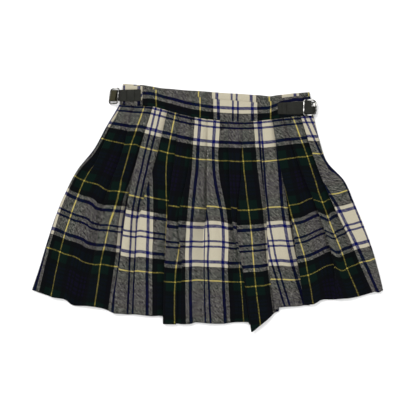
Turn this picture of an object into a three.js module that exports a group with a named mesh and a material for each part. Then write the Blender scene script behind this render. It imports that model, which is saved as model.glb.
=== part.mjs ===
// A pleated plaid wool skirt, laid flat and seen from above: x across, y from hem to waist, z up.
// Lengths are millimetres. The cloth lies on the surface z = 0, with its back panel underneath.
import * as THREE from "three";

// Cloth
const WALL = 1.1;
const LAYER = 1.5;
const SEAM_GAP = 0.3;
const BAND_GAP = 0.6;
const BACK_FLOOR = WALL / 2;
const FRONT_FLOOR = 5.1;

// The fan: every line down the cloth runs from one far point above the waist
const FAN_X = 34;
const FAN_Y = 557;

// The waist seam, as its distance from the fan's point
const SEAM_LINE = [
  { across: -145, reach: 426.5 },
  { across: -128, reach: 419.8 },
  { across: -87, reach: 409.4 },
  { across: -62, reach: 409.2 },
  { across: -30, reach: 411.6 },
  { across: 17, reach: 413.4 },
  { across: 60, reach: 415.8 },
  { across: 105, reach: 417.8 },
  { across: 140, reach: 419.6 },
  { across: 158, reach: 424.4 },
  { across: 175, reach: 430.4 },
];

// Fold edges of the knife pleats, left to right, at five levels from the waist seam to the hem.
// across: the fold edge; cloth: its place along the cut; sagLeft and sagRight: how far the weft
// hangs below the even arc beside the fold; lift: the open fold's height; long: seam to hem.
const PLEATS = [
  { across: [-141, -175.7, -207, -231.5, -253.3], cloth: [62.7, 62.7, 62.7, 62.7, 62.7],
    sagLeft: 0, sagRight: 0, lift: 4.5, long: 335 },
  { across: [-120.6, -141, -169, -181, -194], cloth: [117.2, 120.5, 113.9, 121.5, 121.6],
    sagLeft: 7.5, sagRight: 5.5, lift: 4, long: 327 },
  { across: [-89.1, -113.9, -131.8, -141.9, -151], cloth: [183.8, 176.6, 179.9, 175.4, 170],
    sagLeft: 3, sagRight: 4.5, lift: 5.5, long: 339 },
  { across: [-65.2, -85, -108, -113, -114.7], cloth: [240.9, 236, 208.7, 206.3, 206.3],
    sagLeft: 3.5, sagRight: 0.5, lift: 3.5, long: 336 },
  { across: [-44.6, -55.3, -65.2, -70.1, -72.1], cloth: [291.2, 293.7, 298.7, 306.7, 306.9],
    sagLeft: -3.5, sagRight: 6, lift: 5, long: 337 },
  { across: [-23.9, -30.5, -47, -40.4, -41.3], cloth: [340.7, 342.9, 334.6, 339.9, 339.9],
    sagLeft: 3.5, sagRight: 3, lift: 3, long: 336 },
  { across: [0.8, -0.8, -0.8, -0.8, 0.8], cloth: [403.4, 400.5, 382, 384.5, 384.5],
    sagLeft: -1, sagRight: -1, lift: 3.5, long: 336 },
  { across: [34.6, 36.3, 41.3, 56.5, 67.4], cloth: [467, 466.5, 463.7, 448, 455.1],
    sagLeft: -3, sagRight: -3, lift: 2.5, long: 335 },
  { across: [58.6, 55.8, 48.7, 60.2, 71.8], cloth: [518.1, 511.3, 494.8, 498.3, 501.1],
    sagLeft: -4, sagRight: 4.5, lift: 6, long: 341 },
  { across: [85.8, 90.9, 97.4, 100.7, 111.4], cloth: [579.2, 578.3, 572.6, 562.7, 552.8],
    sagLeft: 2, sagRight: -4, lift: 4.5, long: 313 },
  { across: [106.4, 119.6, 136.1, 148, 159.2], cloth: [632, 634.9, 632.4, 620.4, 620.4],
    sagLeft: 0.5, sagRight: -1, lift: 4, long: 309.5 },
  { across: [125.4, 150.2, 180.7, 205.4, 220.3], cloth: [689.7, 689.2, 691.7, 682.9, 681],
    sagLeft: -7.5, sagRight: -7, lift: 4.5, long: 321 },
  { across: [153.5, 179, 213.7, 246.7, 276.4], cloth: [754.1, 745.8, 735.9, 735.9, 735.9],
    sagLeft: -4, sagRight: -4, lift: 3.5, long: 317 },
];
// The side edges, at nine levels
const LEFT_SIDE = {
  across: [-145, -166.7, -187, -213.9, -233.7, -250, -263.3, -275.5, -289],
  cloth: [22.3, 22.3, 23.9, 24.8, 23.1], sag: 0, long: 337,
};
const RIGHT_SIDE = {
  across: [174.9, 184.2, 197.3, 225.7, 242, 257.4, 271.2, 282.5, 292.1],
  cloth: [776.5, 765.6, 765.6, 760.7, 748], sag: -6, long: 316,
};

const BACK_SHORTER = 9;

// Upper edges of the waistbands, as height up the garment at a few places across it
const FRONT_BAND_TOP = [
  { across: -107.6, up: 199.5 },
  { across: -86.6, up: 194.2 },
  { across: -66.8, up: 188.4 },
  { across: -30.5, up: 183 },
  { across: 37, up: 176.4 },
  { across: 83, up: 173.1 },
  { across: 97, up: 173.6 },
  { across: 115, up: 178.4 },
  { across: 128, up: 181.3 },
  { across: 148, up: 183.3 },
  { across: 170, up: 183 },
];
const BACK_BAND_TOP = [
  { across: -139, up: 204 },
  { across: -108, up: 202 },
  { across: -70, up: 196.2 },
  { across: -29, up: 192.9 },
  { across: 45, up: 187.9 },
  { across: 82, up: 185.5 },
  { across: 103, up: 183.5 },
  { across: 120, up: 185.8 },
  { across: 144, up: 188.4 },
  { across: 168, up: 190.2 },
];
const LEFT_END_TOP = [
  { across: -139, up: 201.2 },
  { across: -108, up: 200 },
];
const FRONT_BAND = {
  from: -107.4, to: 174.2, fromTop: -107.4, toTop: 169, upper: FRONT_BAND_TOP,
  bottom: 6.5, top: 5.6, thick: 2.8, stations: 22,
};
const LEFT_BAND_END = {
  from: -144.4, to: -107.8, fromTop: -138.4, toTop: -107.8, upper: LEFT_END_TOP,
  bottom: 6.5, top: 5.6, thick: 2.8, stations: 4,
};
const BACK_BAND = {
  from: -144, to: 173.8, fromTop: -139, toTop: 168, upper: BACK_BAND_TOP,
  bottom: 1.9, top: 1.9, thick: 3.8, stations: 22,
};

// Leather straps and their buckles, one at each hip
const LEATHER = 2.2;
const STRAP_STEPS = 12;
const RING_STEPS = 32;
const RING_SIDES = 8;
const WIRE = 2.3;
const LEFT_STRAP = {
  from: -148.5, to: -109.4, upFrom: 184.4, upTo: 185, widthFrom: 18, widthTo: 19,
  corner: 3.5, farCorner: 0.8, bottom: 8.2, thick: LEATHER,
};
const LEFT_LOOP = {
  route: [
    { across: -150.4, height: 9.4 },
    { across: -156, height: 8.8 },
    { across: -159, height: 6 },
    { across: -156, height: 3 },
    { across: -147.5, height: 2.2 },
  ],
  up: 184.6, width: 18, thick: LEATHER,
};
const LEFT_BUCKLE = {
  across: -153.6, up: 183.6, height: 7.4, length: 17.5, width: 24.7, corner: 5, farCorner: 3,
  wire: WIRE, tilt: -0.62,
};
const RIGHT_BASE = {
  from: 115.3, to: 153.5, upFrom: 163.2, upTo: 163.8, widthFrom: 18.4, widthTo: 21,
  corner: 2.5, farCorner: 2, bottom: 8.2, thick: LEATHER,
};
const RIGHT_STRAP = {
  route: [
    { across: 154, height: 9.3 },
    { across: 164, height: 9.3 },
    { across: 173, height: 9.2 },
    { across: 177.4, height: 6.6 },
    { across: 177.2, height: 3.4 },
    { across: 175, height: 1.9 },
  ],
  up: 164.2, width: 19.4, thick: LEATHER,
};
const RIGHT_BUCKLE = {
  across: 168, up: 164.6, height: 12, length: 20.5, width: 24.7, corner: 3, farCorner: 8,
  wire: WIRE, tilt: 0,
};
const RIGHT_PRONG = {
  route: [
    { across: 170.4, height: 11.5 },
    { across: 173.4, height: 11.8 },
    { across: 176.2, height: 12.2 },
  ],
  up: 169, width: 6, thick: 1.6,
};

const FRONT_ROWS = 12;
const BACK_ROWS = 8;
const OPEN_TUCK = 14;
const OPEN_SLOPE = 11;
const TUCK_ROOM = 0.62;

const mix = (a, b, t) => a + (b - a) * t;
const clamp = (x, low, high) => Math.min(high, Math.max(low, x));
const smooth = (t) => t * t * (3 - 2 * t);

// A smooth curve through equally spaced values, share 0 to 1 along it.
function through(values, share) {
  const steps = values.length - 1;
  const i = Math.min(steps - 1, Math.floor(share * steps));
  const t = share * steps - i;
  const [b, c] = [values[i], values[i + 1]];
  const a = i > 0 ? values[i - 1] : 2 * b - c;
  const d = i < steps - 1 ? values[i + 2] : 2 * c - b;
  return b + 0.5 * t * (c - a + t * (2 * a - 5 * b + 4 * c - d + t * (3 * (b - c) + d - a)));
}

function seamReach(across) {
  const last = SEAM_LINE.length - 1;
  let i = 0;
  while (i < last - 1 && SEAM_LINE[i + 1].across < across) i += 1;
  const [a, b] = [SEAM_LINE[i], SEAM_LINE[i + 1]];
  const t = clamp((across - a.across) / (b.across - a.across), 0, 1);
  return mix(a.reach, b.reach, smooth(t));
}

// A fold edge or side edge at one level: its bearing from the fan's point and its place on the cut.
function lineAt(line, share) {
  const across = through(line.across, share);
  const seam = seamReach(line.across[0]);
  const reach = seam + line.long * share;
  return {
    bearing: Math.asin((across - FAN_X) / reach),
    reach,
    cloth: through(line.cloth, share),
    seam,
    long: line.long,
  };
}

const sagShare = (share) => Math.pow(share / 0.8, 1.3);

// One level of the front panel: points along the middle of the wall, each with its bearing from
// the fan's point, reach, height and rounding. Each pleat goes face, inner fold, return, fold edge.
function frontSection(share) {
  const left = lineAt(LEFT_SIDE, share);
  const right = lineAt(RIGHT_SIDE, share);
  const folds = PLEATS.map((pleat) => lineAt(pleat, share));
  const width = (a, b) => (b.bearing - a.bearing) * 0.5 * (a.reach + b.reach);
  const floor = FRONT_FLOOR;
  const sag = sagShare(share);
  const keys = [];
  const add = (line, offset, height, sagging, round) =>
    keys.push({ line, bearing: line.bearing + offset / line.reach, height, sag: sagging * sag, round });

  add(left, 0.6, BACK_FLOOR + WALL / 2 + SEAM_GAP + 0.3, LEFT_SIDE.sag, 1);
  add(left, 0.6, floor, LEFT_SIDE.sag, 1.6);
  let from = left;
  folds.forEach((fold, k) => {
    const next = k + 1 < folds.length ? folds[k + 1] : right;
    const [before, after] = [width(from, fold), width(fold, next)];
    const tuck = Math.max(0, fold.cloth - from.cloth - before);
    const open = 1 - smooth(clamp(tuck / OPEN_TUCK, 0, 1));
    const depth = Math.min(tuck / 2, TUCK_ROOM * after);
    const slope = Math.min(OPEN_SLOPE, 0.45 * before) * open;
    const lift = PLEATS[k].lift;
    const rise = mix(2 * LAYER + (lift - 2 * LAYER) * Math.max(0, share - 0.3), lift * (0.5 + 0.5 * share), open);
    const step = mix(LAYER, 0.15 * rise, open);
    const round = mix(LAYER / 2, 7, open);
    const { sagLeft, sagRight } = PLEATS[k];
    add(fold, -slope - mix(1.5, 0.25 * before, open), floor, sagLeft, mix(2.5, 7, open));
    add(fold, depth - slope, floor, sagLeft, round);
    add(fold, depth - 0.85 * slope, floor + step, mix(sagLeft, sagRight, 0.4), round);
    add(fold, -0.15 * slope, floor + rise - step, mix(sagLeft, sagRight, 0.6), round);
    add(fold, 0, floor + rise, sagRight, round);
    const knee = mix(Math.min(depth + 3, 0.8 * after), 0.35 * after, open);
    add(fold, knee, floor + mix(rise, 0.6 * rise, open), mix(sagRight, 0, 0.3), mix(2, 7, open));
    from = fold;
  });
  add(right, -0.6, floor, RIGHT_SIDE.sag, 1.6);
  add(right, -0.6, BACK_FLOOR + WALL / 2 + SEAM_GAP + 0.3, RIGHT_SIDE.sag, 1);
  return { keys, lines: [left, ...folds, right] };
}

// The back panel at one level: the same number of knife pleats, pressed flat, faces underneath.
function backSection(share) {
  const left = lineAt(LEFT_SIDE, share);
  const right = lineAt(RIGHT_SIDE, share);
  const lines = [left, ...PLEATS.map((pleat) => lineAt(pleat, share)), right];
  const span = right.bearing - left.bearing;
  const keys = [];
  const count = PLEATS.length;
  const add = (bearing, height, round) => keys.push({ bearing, height, sag: 0, round });
  const edge = 1.2 / left.reach;
  const pitch = (span - 2 * edge) / count;
  add(left.bearing + edge, BACK_FLOOR, 0.5);
  for (let k = 1; k < count; k += 1) {
    const fold = left.bearing + edge + pitch * k;
    const depth = pitch * mix(0.6, 0.3, share);
    const clear = 2.6 / left.reach;
    add(fold - clear, BACK_FLOOR, 0.7);
    add(fold, BACK_FLOOR + 2 * LAYER, 0.7);
    add(fold + depth, BACK_FLOOR + 2 * LAYER, LAYER / 2);
    add(fold + depth, BACK_FLOOR + LAYER, LAYER / 2);
    add(fold, BACK_FLOOR + LAYER, LAYER / 2);
    add(fold, BACK_FLOOR, LAYER / 2);
  }
  add(right.bearing - edge, BACK_FLOOR, 0.5);
  return { keys, lines };
}

// Rounds each turn of a section by a short curve of the given number of points, or by none.
function rounded(keys, points) {
  if (points < 2) return keys;
  const reach = SEAM_LINE[0].reach;
  const flat = (k) => new THREE.Vector2(k.bearing * reach, k.height);
  const out = [];
  keys.forEach((key, i) => {
    if (i === 0 || i === keys.length - 1) {
      out.push(key);
      return;
    }
    const [a, p, b] = [keys[i - 1], key, keys[i + 1]].map(flat);
    const before = a.distanceTo(p) || 1e-6;
    const after = p.distanceTo(b) || 1e-6;
    const cut = Math.min(key.round, 0.48 * before, 0.48 * after);
    const [ta, tb] = [cut / before, cut / after];
    const start = { ...key, bearing: mix(key.bearing, keys[i - 1].bearing, ta), height: mix(p.y, a.y, ta) };
    const end = { ...key, bearing: mix(key.bearing, keys[i + 1].bearing, tb), height: mix(p.y, b.y, tb) };
    start.sag = mix(key.sag, keys[i - 1].sag, ta);
    end.sag = mix(key.sag, keys[i + 1].sag, tb);
    for (let n = 0; n < points; n += 1) {
      const t = n / (points - 1);
      const w = [(1 - t) * (1 - t), 2 * t * (1 - t), t * t];
      const blend = (name) => w[0] * start[name] + w[1] * key[name] + w[2] * end[name];
      out.push({ bearing: blend("bearing"), height: blend("height"), sag: blend("sag") });
    }
  });
  return out;
}

// Reach of the even arc at a bearing: the seam and the length vary a little from line to line.
function arcReach(lines, bearing, share) {
  let i = 0;
  while (i < lines.length - 2 && lines[i + 1].bearing < bearing) i += 1;
  const [a, b] = [lines[i], lines[i + 1]];
  const t = clamp((bearing - a.bearing) / (b.bearing - a.bearing), 0, 1);
  return mix(a.seam, b.seam, t) + mix(a.long, b.long, t) * share;
}

function placed(lines, point, share, shorten = 0) {
  const reach = arcReach(lines, point.bearing, share) + point.sag - shorten * share;
  return new THREE.Vector3(
    FAN_X + reach * Math.sin(point.bearing),
    FAN_Y - reach * Math.cos(point.bearing),
    point.height,
  );
}

// A closed wall of even thickness around rows of middle points.
function wallAround(rows, thick) {
  const across = rows[0].length;
  const down = rows.length;
  const positions = [];
  const tangent = new THREE.Vector3();
  const along = new THREE.Vector3();
  const normals = rows.map((row, j) =>
    row.map((p, i) => {
      tangent.subVectors(row[Math.min(across - 1, i + 1)], row[Math.max(0, i - 1)]);
      along.subVectors(rows[Math.min(down - 1, j + 1)][i], rows[Math.max(0, j - 1)][i]);
      along.z = 0;
      return new THREE.Vector3().crossVectors(along, tangent).normalize();
    }),
  );
  for (const side of [0.5, -0.5]) {
    rows.forEach((row, j) =>
      row.forEach((p, i) => positions.push(...p.clone().addScaledVector(normals[j][i], side * thick).toArray())),
    );
  }
  const at = (side, j, i) => side * across * down + j * across + i;
  const index = [];
  const quad = (a, b, c, d) => index.push(a, b, c, a, c, d);
  for (let j = 0; j < down - 1; j += 1) {
    for (let i = 0; i < across - 1; i += 1) {
      quad(at(0, j, i), at(0, j + 1, i), at(0, j + 1, i + 1), at(0, j, i + 1));
      quad(at(1, j, i), at(1, j, i + 1), at(1, j + 1, i + 1), at(1, j + 1, i));
    }
    quad(at(0, j, 0), at(1, j, 0), at(1, j + 1, 0), at(0, j + 1, 0));
    const e = across - 1;
    quad(at(0, j, e), at(0, j + 1, e), at(1, j + 1, e), at(1, j, e));
  }
  for (let i = 0; i < across - 1; i += 1) {
    quad(at(0, 0, i), at(0, 0, i + 1), at(1, 0, i + 1), at(1, 0, i));
    const e = down - 1;
    quad(at(0, e, i), at(1, e, i), at(1, e, i + 1), at(0, e, i + 1));
  }
  const geometry = new THREE.BufferGeometry();
  geometry.setAttribute("position", new THREE.Float32BufferAttribute(positions, 3));
  geometry.setIndex(index);
  geometry.computeVertexNormals();
  return geometry;
}

function pleatedPanel(section, rowCount, turnPoints, shorten = 0) {
  const rows = [];
  for (let j = 0; j < rowCount; j += 1) {
    const share = j / (rowCount - 1);
    const { keys, lines } = section(share);
    rows.push(rounded(keys, turnPoints).map((point) => placed(lines, point, share, shorten)));
  }
  return wallAround(rows, WALL);
}

// A closed solid through loops of points, capped at its ends or run round into itself.
function loft(loops, closed) {
  const count = loops[0].length;
  const positions = loops.flat().flatMap((p) => p.toArray());
  const index = [];
  const spans = closed ? loops.length : loops.length - 1;
  for (let j = 0; j < spans; j += 1) {
    const next = (j + 1) % loops.length;
    for (let i = 0; i < count; i += 1) {
      const [a, b] = [j * count + i, j * count + ((i + 1) % count)];
      const [c, d] = [next * count + ((i + 1) % count), next * count + i];
      index.push(a, b, c, a, c, d);
    }
  }
  if (!closed) {
    const last = (loops.length - 1) * count;
    for (let i = 1; i < count - 1; i += 1) {
      index.push(0, i + 1, i, last, last + i, last + i + 1);
    }
  }
  const geometry = new THREE.BufferGeometry();
  geometry.setAttribute("position", new THREE.Float32BufferAttribute(positions, 3));
  geometry.setIndex(index);
  geometry.computeVertexNormals();
  return geometry;
}

// A height read off a short table of across and up, with a smooth curve between its rows.
function edgeAt(table, across) {
  let i = 0;
  while (i < table.length - 2 && table[i + 1].across < across) i += 1;
  const [a, b] = [table[i], table[i + 1]];
  const t = clamp((across - a.across) / (b.across - a.across), 0, 1);
  return mix(a.up, b.up, smooth(t) * 0.5 + t * 0.5);
}

const seamUp = (across) => FAN_Y - Math.sqrt(seamReach(across) ** 2 - (across - FAN_X) ** 2);

// A waistband strip from the waist seam to its own upper edge, full in the middle, thin at its folds.
function band({ from, to, fromTop, toTop, upper, bottom, top, thick, stations }) {
  const profile = [
    { up: 0, full: 0.55 }, { up: 0.05, full: 0.95 }, { up: 0.5, full: 1 }, { up: 0.94, full: 0.92 }, { up: 1, full: 0.4 },
  ];
  const loops = [];
  for (let j = 0; j <= stations; j += 1) {
    const share = j / stations;
    const low = mix(from, to, share);
    const high = mix(fromTop, toTop, share);
    const [lowUp, highUp] = [seamUp(low) + BAND_GAP, edgeAt(upper, high)];
    const side = (sign, { up, full }) =>
      new THREE.Vector3(mix(low, high, up), mix(lowUp, highUp, up), mix(bottom, top, up) + (sign * full * thick) / 2);
    loops.push([...profile.map((row) => side(-1, row)), ...profile.map((row) => side(1, row)).reverse()]);
  }
  return loft(loops, false);
}

const wool = (color) => new THREE.MeshStandardMaterial({ color, roughness: 0.95, metalness: 0 });
const leather = (color) => new THREE.MeshStandardMaterial({ color, roughness: 0.55, metalness: 0 });
const silver = new THREE.MeshStandardMaterial({ color: 0xc8c8c8, roughness: 0.18, metalness: 1 });

const skirt = new THREE.Group();
function sew(name, geometry, material) {
  const mesh = new THREE.Mesh(geometry, material);
  mesh.name = name;
  skirt.add(mesh);
}

sew("front_pleats", pleatedPanel(frontSection, FRONT_ROWS, 2), wool(0x2c3a44));
sew("back_pleats", pleatedPanel(backSection, BACK_ROWS, 1, BACK_SHORTER), wool(0x2c3a44));
sew("front_waistband", band(FRONT_BAND), wool(0x5a5c60));
sew("left_waistband_end", band(LEFT_BAND_END), wool(0x6a6a68));
sew("back_waistband", band(BACK_BAND), wool(0x8c8a84));

// A flat strap with rounded corners, its outline given by its two ends and their widths.
function strapPatch({ from, to, upFrom, upTo, widthFrom, widthTo, corner, farCorner, bottom, thick }) {
  const length = Math.hypot(to - from, upTo - upFrom);
  const shape = new THREE.Shape();
  const [a, b] = [widthFrom / 2, widthTo / 2];
  shape.moveTo(corner, -a);
  shape.lineTo(length - farCorner, -b);
  shape.quadraticCurveTo(length, -b, length, -b + farCorner);
  shape.lineTo(length, b - farCorner);
  shape.quadraticCurveTo(length, b, length - farCorner, b);
  shape.lineTo(corner, a);
  shape.quadraticCurveTo(0, a, 0, a - corner);
  shape.lineTo(0, -a + corner);
  shape.quadraticCurveTo(0, -a, corner, -a);
  const geometry = new THREE.ExtrudeGeometry(shape, { depth: thick, bevelEnabled: false, curveSegments: 6 });
  geometry.rotateZ(Math.atan2(upTo - upFrom, to - from));
  geometry.translate(from, upFrom, bottom);
  return geometry;
}

// A strap of even width that runs along a route of across and height, around the garment's side.
function strapAround({ route, up, width, thick }) {
  const curve = new THREE.CatmullRomCurve3(route.map((p) => new THREE.Vector3(p.across, up, p.height)));
  const steps = STRAP_STEPS;
  const loops = [];
  for (let j = 0; j <= steps; j += 1) {
    const p = curve.getPoint(j / steps);
    const t = curve.getTangent(j / steps);
    const out = new THREE.Vector3(-t.z, 0, t.x).multiplyScalar(thick / 2);
    const half = new THREE.Vector3(0, width / 2, 0);
    loops.push([
      p.clone().sub(out).sub(half),
      p.clone().sub(out).add(half),
      p.clone().add(out).add(half),
      p.clone().add(out).sub(half),
    ]);
  }
  return loft(loops, false);
}

// A wire ring with rounded corners, tilted about the line that runs down the garment.
function ring({ across, up, height, length, width, corner, farCorner, wire, tilt }) {
  const outline = new THREE.Shape();
  const [l, w] = [length / 2, width / 2];
  outline.moveTo(-l + corner, -w);
  outline.lineTo(l - farCorner, -w);
  outline.absarc(l - farCorner, -w + farCorner, farCorner, -Math.PI / 2, 0);
  outline.lineTo(l, w - farCorner);
  outline.absarc(l - farCorner, w - farCorner, farCorner, 0, Math.PI / 2);
  outline.lineTo(-l + corner, w);
  outline.absarc(-l + corner, w - corner, corner, Math.PI / 2, Math.PI);
  outline.lineTo(-l, -w + corner);
  outline.absarc(-l + corner, -w + corner, corner, Math.PI, 1.5 * Math.PI);
  const path = outline.getSpacedPoints(RING_STEPS).slice(0, -1);
  const loops = path.map((p, i) => {
    const before = path[(i + path.length - 1) % path.length];
    const after = path[(i + 1) % path.length];
    const t = new THREE.Vector2().subVectors(after, before).normalize();
    const loop = [];
    for (let n = 0; n < RING_SIDES; n += 1) {
      const turn = (n / RING_SIDES) * 2 * Math.PI;
      const out = (Math.cos(turn) * wire) / 2;
      loop.push(new THREE.Vector3(p.x + t.y * out, p.y - t.x * out, (-Math.sin(turn) * wire) / 2));
    }
    return loop;
  });
  const geometry = loft(loops, true);
  geometry.rotateY(tilt);
  geometry.translate(across, up, height);
  return geometry;
}

sew("left_strap", strapPatch(LEFT_STRAP), leather(0x2d2e2a));
sew("left_strap_loop", strapAround(LEFT_LOOP), leather(0x3f3c20));
sew("left_buckle", ring(LEFT_BUCKLE), silver);
sew("right_strap_base", strapPatch(RIGHT_BASE), leather(0x2d2e2a));
sew("right_strap", strapAround(RIGHT_STRAP), leather(0x2a2b28));
sew("right_buckle", ring(RIGHT_BUCKLE), silver);
sew("right_prong", strapAround(RIGHT_PRONG), silver);

export default skirt;
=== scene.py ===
# A pleated plaid wool skirt laid flat on a pale surface, seen from straight above.
# Lengths in the tables are millimetres, in the CAD frame: x across, y from hem to waist, z up.
import math

import bmesh
import bpy
from mathutils import Matrix, Vector


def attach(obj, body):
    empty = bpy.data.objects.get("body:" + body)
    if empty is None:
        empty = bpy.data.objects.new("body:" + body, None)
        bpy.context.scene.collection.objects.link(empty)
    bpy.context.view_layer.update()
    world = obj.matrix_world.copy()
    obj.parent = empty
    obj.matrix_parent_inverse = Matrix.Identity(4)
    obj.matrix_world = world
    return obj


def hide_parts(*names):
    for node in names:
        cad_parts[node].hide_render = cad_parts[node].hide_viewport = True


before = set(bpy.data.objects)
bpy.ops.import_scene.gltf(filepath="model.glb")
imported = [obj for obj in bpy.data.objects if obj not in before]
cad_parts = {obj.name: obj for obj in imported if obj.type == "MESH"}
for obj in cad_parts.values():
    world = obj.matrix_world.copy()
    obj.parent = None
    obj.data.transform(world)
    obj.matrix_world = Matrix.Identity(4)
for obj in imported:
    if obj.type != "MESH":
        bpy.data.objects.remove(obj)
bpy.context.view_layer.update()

MM = 0.001
# The cloth's wall, the height that one folded layer takes up, and the gap kept at seams
WALL = 1.1
LAYER = 1.5
SEAM_GAP = 0.3
# Height of the middle of the wall where each panel lies flat
BACK_FLOOR = 0.55
FRONT_FLOOR = 5.1

# Every line down the cloth runs from one far point above the waist
FAN_X = 34
FAN_Y = 557

# The waist seam, as (across, distance from the fan's point)
SEAM_LINE = [
    (-145, 426.5), (-128, 419.8), (-87, 409.4), (-62, 409.2), (-30, 411.6), (17, 413.4),
    (60, 415.8), (105, 417.8), (140, 419.6), (158, 424.4), (175, 430.4),
]

# Fold edges of the knife pleats, left to right, each at five levels from the seam to the hem.
# across: where the edge lies; cloth: its place on the cut; sag: how far the cloth hangs left and
# right of it; lift: how high it stands; long: its length from seam to hem;
# drop_left and drop_right: how much lower than the even arc the weft is drawn beside it;
# slack: cloth taken up by ease on the face to its left; tucked: cloth caught in a small fold there;
# shadow: how dark that face gets at the fold, and gather: how close to the fold it gets dark;
# soft: the least share of the left face's hang that the fold's crest keeps
PLEATS = [
    dict(across=[-141, -175.7, -207, -231.5, -253.3], cloth=[62.7, 63, 66.5, 68.2, 64],
         sag=(0, 0), lift=4.5, long=335,
         drop_left=[0, -4.6, -3.2, -1.2, -1], drop_right=[0, -4.6, -3.5, -1.8, -2], slack=[0, 9, 8, 7, 0]),
    dict(across=[-120.6, -141, -169, -181, -194], cloth=[116.8, 122.8, 113, 123.2, 122.2],
         sag=(7.5, 5.5), lift=4, long=327,
         drop_left=[0, -4.6, 0, -3, -3], drop_right=[0, -3, 1.5, -1.5, -2.5]),
    dict(across=[-89.1, -113.9, -131.8, -141.9, -151], cloth=[182.8, 177.8, 177.9, 172.9, 167.5],
         sag=(3, 4.5), lift=5.5, long=339,
         tucked=[0, 5, 15, 1, 0], shadow=[0, 0.4, 0.9, 0.3, 0.2],
         drop_left=[0.5, 1.5, 3, 1.5, 2.3], drop_right=[0.7, 2, 7, 5.5, 5]),
    dict(across=[-65.2, -85, -108, -113, -114.7], cloth=[238.2, 233.4, 209.5, 206.3, 204.5],
         sag=(3.5, 0.5), lift=3.5, long=336,
         drop_left=[1, 1.8, 6.5, 4.8, 5], drop_right=[1.3, 0.5, 3, 2.3, 2.3]),
    dict(across=[-44.6, -55.3, -65.2, -70.1, -72.1], cloth=[291.2, 293.7, 298.7, 306.7, 306.9],
         sag=(-3.5, 6), lift=5, long=337,
         drop_left=[1.3, -0.5, 3.3, 2.5, 2.5], drop_right=[1.3, 0.4, 7, 6, 5.5]),
    dict(across=[-23.9, -30.5, -47, -40.4, -41.3], cloth=[344.5, 342.9, 334.6, 343.5, 341.4],
         sag=(3.5, 3), lift=3, long=336,
         drop_left=[1.3, 0.4, 7, 6, 5.5], drop_right=[1.3, 0, 5, 2.8, 2.8]),
    dict(across=[0.8, -0.8, -0.8, -0.8, 0.8], cloth=[401.9, 401.7, 387.4, 386.8, 384.5],
         sag=(-1, -1), lift=3.5, long=336,
         shadow=[0, 0.55, 0.65, 0.2, 0.1],
         drop_left=[1.3, -0.5, 5.5, 2.7, 4], drop_right=[1.3, -1.1, 0.5, 1.5, 3.5]),
    dict(across=[34.6, 36.3, 41.3, 56.5, 67.4], cloth=[467, 466.5, 463.7, 448, 455.1],
         sag=(-3, -3), lift=2.5, long=335,
         drop_left=[1.3, -1, 5, 4.5, 5], drop_right=[1.3, -1, 2, 4, 4]),
    dict(across=[58.6, 55.8, 48.7, 60.2, 71.8], cloth=[523, 513, 495.6, 500.4, 502.1],
         sag=(-4, 4.5), lift=6, long=341,
         shadow=[0, 0.1, 0.75, 0.85, 0.85], gather=0.7,
         drop_left=[1.3, -1, 2, 4, 4], drop_right=[1.3, -2.2, 2.5, 3.7, 4.3]),
    dict(across=[85.8, 90.9, 97.4, 100.7, 111.4], cloth=[579.2, 578.3, 578, 567.5, 556],
         sag=(2, -4), lift=4.5, long=313,
         drop_left=[1.3, -2.1, 2.2, 3, 4], drop_right=[1.3, 1, 3, 1.8, 2.8]),
    dict(across=[106.4, 119.6, 136.1, 148, 159.2], cloth=[637.5, 637, 635, 624.2, 621.4],
         sag=(0.5, -1), lift=4, long=309.5,
         drop_left=[1.6, 1, 5, 3, 3.5], drop_right=[1.3, 1, 2, 0, -1]),
    dict(across=[125.4, 150.2, 180.7, 205.4, 220.3], cloth=[695.2, 692.6, 698.3, 693.4, 682],
         sag=(-7.5, -7), lift=4.5, long=321,
         drop_left=[1.3, 2.5, 0, -2, -2], drop_right=[1.3, 2.9, 9.2, 8.7, 10.3], soft=0.6),
    dict(across=[153.5, 178, 208.5, 246.7, 276.4], cloth=[760, 749.8, 736, 738.7, 735.6],
         sag=(-4, -4), lift=3.5, long=317,
         drop_left=[1.3, 1.5, 4, 3, 3], drop_right=[0, -3, -5, -3, -2.3]),
]
# The side edges, at nine levels
LEFT_SIDE = dict(across=[-145, -166.7, -187, -213.9, -233.7, -250, -263.3, -275.5, -289],
                 cloth=[28, 28, 31.5, 28, 24.6], long=337, sag=(0, 0), drop_right=[0, -4.6, -4.5, 0, 0])
RIGHT_SIDE = dict(across=[174.9, 184.2, 197.3, 225.7, 242, 257.4, 271.2, 282.5, 292.1],
                  cloth=[780, 772, 765.5, 765, 766, 767, 766, 760, 750], long=316,
                  sag=(-6, -6), drop_left=[0, -5, -6, -3, -2.3])

# A pleat opens where its tuck holds less cloth than OPEN_TUCK. Its return then slopes, over
# OPEN_SLOPE at the most and SLOPE_ROOM of the face on its left.
OPEN_TUCK = 14
OPEN_SLOPE = 11
SLOPE_ROOM = 0.45
# The most that a tuck reaches in, as a share of the face that hides it
TUCK_ROOM = 0.62
# The rounding of an open pleat's turns, and of a closed one's foot and knee. The knee is where
# the face right of a fold starts down.
OPEN_TURN = 7
FOOT_TURN = 2.5
KNEE_TURN = 2
# How far left of a closed fold its foot lies, how far right of its tuck the knee does, and the
# most of the face that the knee may be across
CLOSED_FOOT = 1.5
CLOSED_KNEE = 3
KNEE_ROOM = 0.8
# The level down to which a closed pleat stands just two layers high
CLOSED_UNTIL = 0.3
# An open pleat's foot and knee, as shares of the faces left and right, its knee's height and the
# heights of its return's two turns, as shares of the fold's, and the shadow that it loses
OPEN_FOOT = 0.25
OPEN_KNEE = 0.35
OPEN_KNEE_UP = 0.6
OPEN_STEP = 0.15
OPEN_LIGHTER = 0.6
# Where the return of an open pleat leaves the floor, and where it ends, as shares of its slope
RISE_FROM = 0.85
RISE_TO = 0.15
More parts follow.
